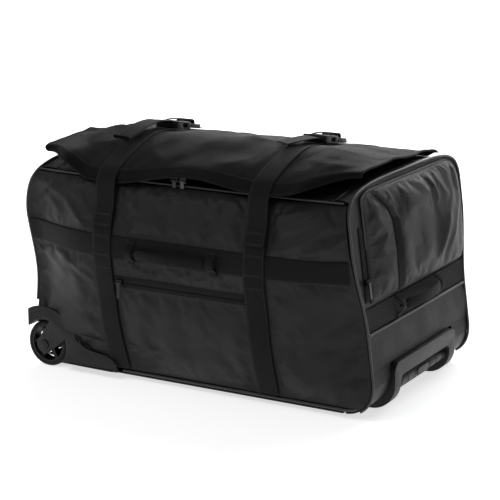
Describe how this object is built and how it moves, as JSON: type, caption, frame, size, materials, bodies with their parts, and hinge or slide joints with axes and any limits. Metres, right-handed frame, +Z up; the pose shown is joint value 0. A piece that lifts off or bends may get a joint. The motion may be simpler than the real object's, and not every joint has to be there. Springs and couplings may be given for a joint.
{
  "type": "rolling duffel bag",
  "caption": "Soft rolling duffel bag with wheels at one end, a telescopic pull handle at the other, and a zipped lid under a strapped storm flap.",
  "frame": {"origin": "on the ground, below the middle of the bag's length and depth", "axes": "+X towards the pull handle end, -X towards the wheels, -Y out of the front long side with the grab handle, +Z up"},
  "size_m": [0.7193, 0.5589, 0.4503],
  "materials": {
    "coated_cloth": "satin tarpaulin-like coating over a fine weave",
    "flap_cloth": "matt woven ballistic cloth",
    "webbing": "matt ribbed webbing",
    "piping": "satin bound edge",
    "zip_tape": "matt woven tape with coil teeth",
    "moulded_plastic": "fine textured",
    "buckle_plastic": "smooth satin",
    "tyre": "matt",
    "tube_metal": "anodised",
    "steel": "satin",
    "puller_metal": "black enamel"
  },
  "bodies": {
    "bag": {"base_tray": "moulded_plastic", "front_panel": "coated_cloth", "back_panel": "coated_cloth", "wheel_end_panel": "coated_cloth", "handle_end_panel": "coated_cloth", "end_kick_panel": "coated_cloth", "end_pocket": "coated_cloth", "top_rim_back": "coated_cloth", "top_rim_ends": "coated_cloth", "main_zip_tape": "zip_tape", "band_front": "webbing", "band_back": "webbing", "band_handle_end": "webbing", "lower_straps": "webbing", "end_seam_piping": "piping", "end_arch_piping": "piping", "side_top_piping": "piping", "side_base_piping": "piping", "front_zip_tape": "zip_tape", "end_zip_tape": "zip_tape", "grab_anchors": "webbing", "handle_bezel": "moulded_plastic", "outer_tubes": "tube_metal", "wheel_housing_front": "moulded_plastic", "wheel_housing_back": "moulded_plastic", "wheel_axles": "steel", "axle_caps": "moulded_plastic", "tube_end_block": "moulded_plastic", "fold_cord": "piping"},
    "lid": {"lid_panel": "coated_cloth", "storm_flap": "flap_cloth", "upper_straps": "webbing", "rear_straps": "webbing", "socket_left": "buckle_plastic", "socket_right": "buckle_plastic"},
    "tongue_left": {"tongue_left": "buckle_plastic"},
    "tongue_right": {"tongue_right": "buckle_plastic"},
    "wheel_front": {"tyre_front": "tyre", "hub_front": "moulded_plastic"},
    "wheel_back": {"tyre_back": "tyre", "hub_back": "moulded_plastic"},
    "handle_stage": {"middle_tubes": "tube_metal"},
    "handle": {"inner_tubes": "tube_metal", "handle_grip": "moulded_plastic"},
    "grip_button": {"grip_button": "moulded_plastic"},
    "front_slider": {"front_zip_slider": "puller_metal"},
    "front_puller": {"front_zip_puller": "puller_metal"},
    "end_slider": {"end_zip_slider": "puller_metal"},
    "end_puller": {"end_zip_puller": "puller_metal"},
    "main_slider_left": {"main_zip_slider_left": "puller_metal"},
    "main_puller_left": {"main_zip_puller_left": "puller_metal"},
    "main_slider_right": {"main_zip_slider_right": "puller_metal"},
    "main_puller_right": {"main_zip_puller_right": "puller_metal"},
    "front_grab": {"front_grab_handle": "webbing"},
    "end_grab": {"end_grab_handle": "webbing"}
  },
  "joints": [
    {"name": "lid_fold", "type": "hinge", "parent": "bag", "child": "lid", "pos_m": [0, 0.215, 0.37751], "axis": [-1, 0, 0], "range_deg": [0, 100]},
    {"name": "buckle_left_release", "type": "slide", "parent": "lid", "child": "tongue_left", "axis": [0, 0.9848, -0.1736], "range_m": [0, 0.045]},
    {"name": "buckle_right_release", "type": "slide", "parent": "lid", "child": "tongue_right", "axis": [0, 0.9848, -0.1736], "range_m": [0, 0.045]},
    {"name": "wheel_front_spin", "type": "hinge", "parent": "bag", "child": "wheel_front", "pos_m": [-0.316, -0.188, 0.0437], "axis": [0, 1, 0], "continuous": true},
    {"name": "wheel_back_spin", "type": "hinge", "parent": "bag", "child": "wheel_back", "pos_m": [-0.316, 0.208, 0.0437], "axis": [0, 1, 0], "continuous": true},
    {"name": "handle_first_stage", "type": "slide", "parent": "bag", "child": "handle_stage", "axis": [1, 0, 0], "range_m": [0, 0.19]},
    {"name": "handle_second_stage", "type": "slide", "parent": "handle_stage", "child": "handle", "axis": [1, 0, 0], "range_m": [0, 0.19]},
    {"name": "grip_button_press", "type": "slide", "parent": "handle", "child": "grip_button", "axis": [-1, 0, 0], "range_m": [0, 0.003], "stiffness_N_per_m": 600, "springref_m": -0.002},
    {"name": "front_zip_run", "type": "slide", "parent": "bag", "child": "front_slider", "axis": [1, 0, 0], "range_m": [0, 0.236]},
    {"name": "front_puller_swing", "type": "hinge", "parent": "front_slider", "child": "front_puller", "pos_m": [-0.118, -0.25703, 0.198], "axis": [-1, 0, 0], "range_deg": [0, 150]},
    {"name": "end_zip_run", "type": "slide", "parent": "bag", "child": "end_slider", "axis": [-0.1351, 0, 0.9908], "range_m": [0, 0.08]},
    {"name": "end_puller_swing", "type": "hinge", "parent": "end_slider", "child": "end_puller", "pos_m": [0.32982, -0.181, 0.23905], "axis": [0, -1, 0], "range_deg": [0, 150]},
    {"name": "main_zip_run_left", "type": "slide", "parent": "bag", "child": "main_slider_left", "axis": [-1, 0, 0], "range_m": [0, 0.228]},
    {"name": "main_puller_left_swing", "type": "hinge", "parent": "main_slider_left", "child": "main_puller_left", "pos_m": [-0.022, -0.22298, 0.384], "axis": [-1, 0, 0], "range_deg": [0, 80]},
    {"name": "main_zip_run_right", "type": "slide", "parent": "bag", "child": "main_slider_right", "axis": [1, 0, 0], "range_m": [0, 0.256]},
    {"name": "main_puller_right_swing", "type": "hinge", "parent": "main_slider_right", "child": "main_puller_right", "pos_m": [-0.006, -0.22298, 0.384], "axis": [-1, 0, 0], "range_deg": [0, 80]},
    {"name": "front_grab_swing", "type": "hinge", "parent": "bag", "child": "front_grab", "pos_m": [-0.0075, -0.26551, 0.256], "axis": [1, 0, 0], "range_deg": [-30, 30]},
    {"name": "end_grab_swing", "type": "hinge", "parent": "bag", "child": "end_grab", "pos_m": [0.34059, 0.01, 0.17635], "axis": [0, 1, 0], "range_deg": [-30, 30]}
  ]
}
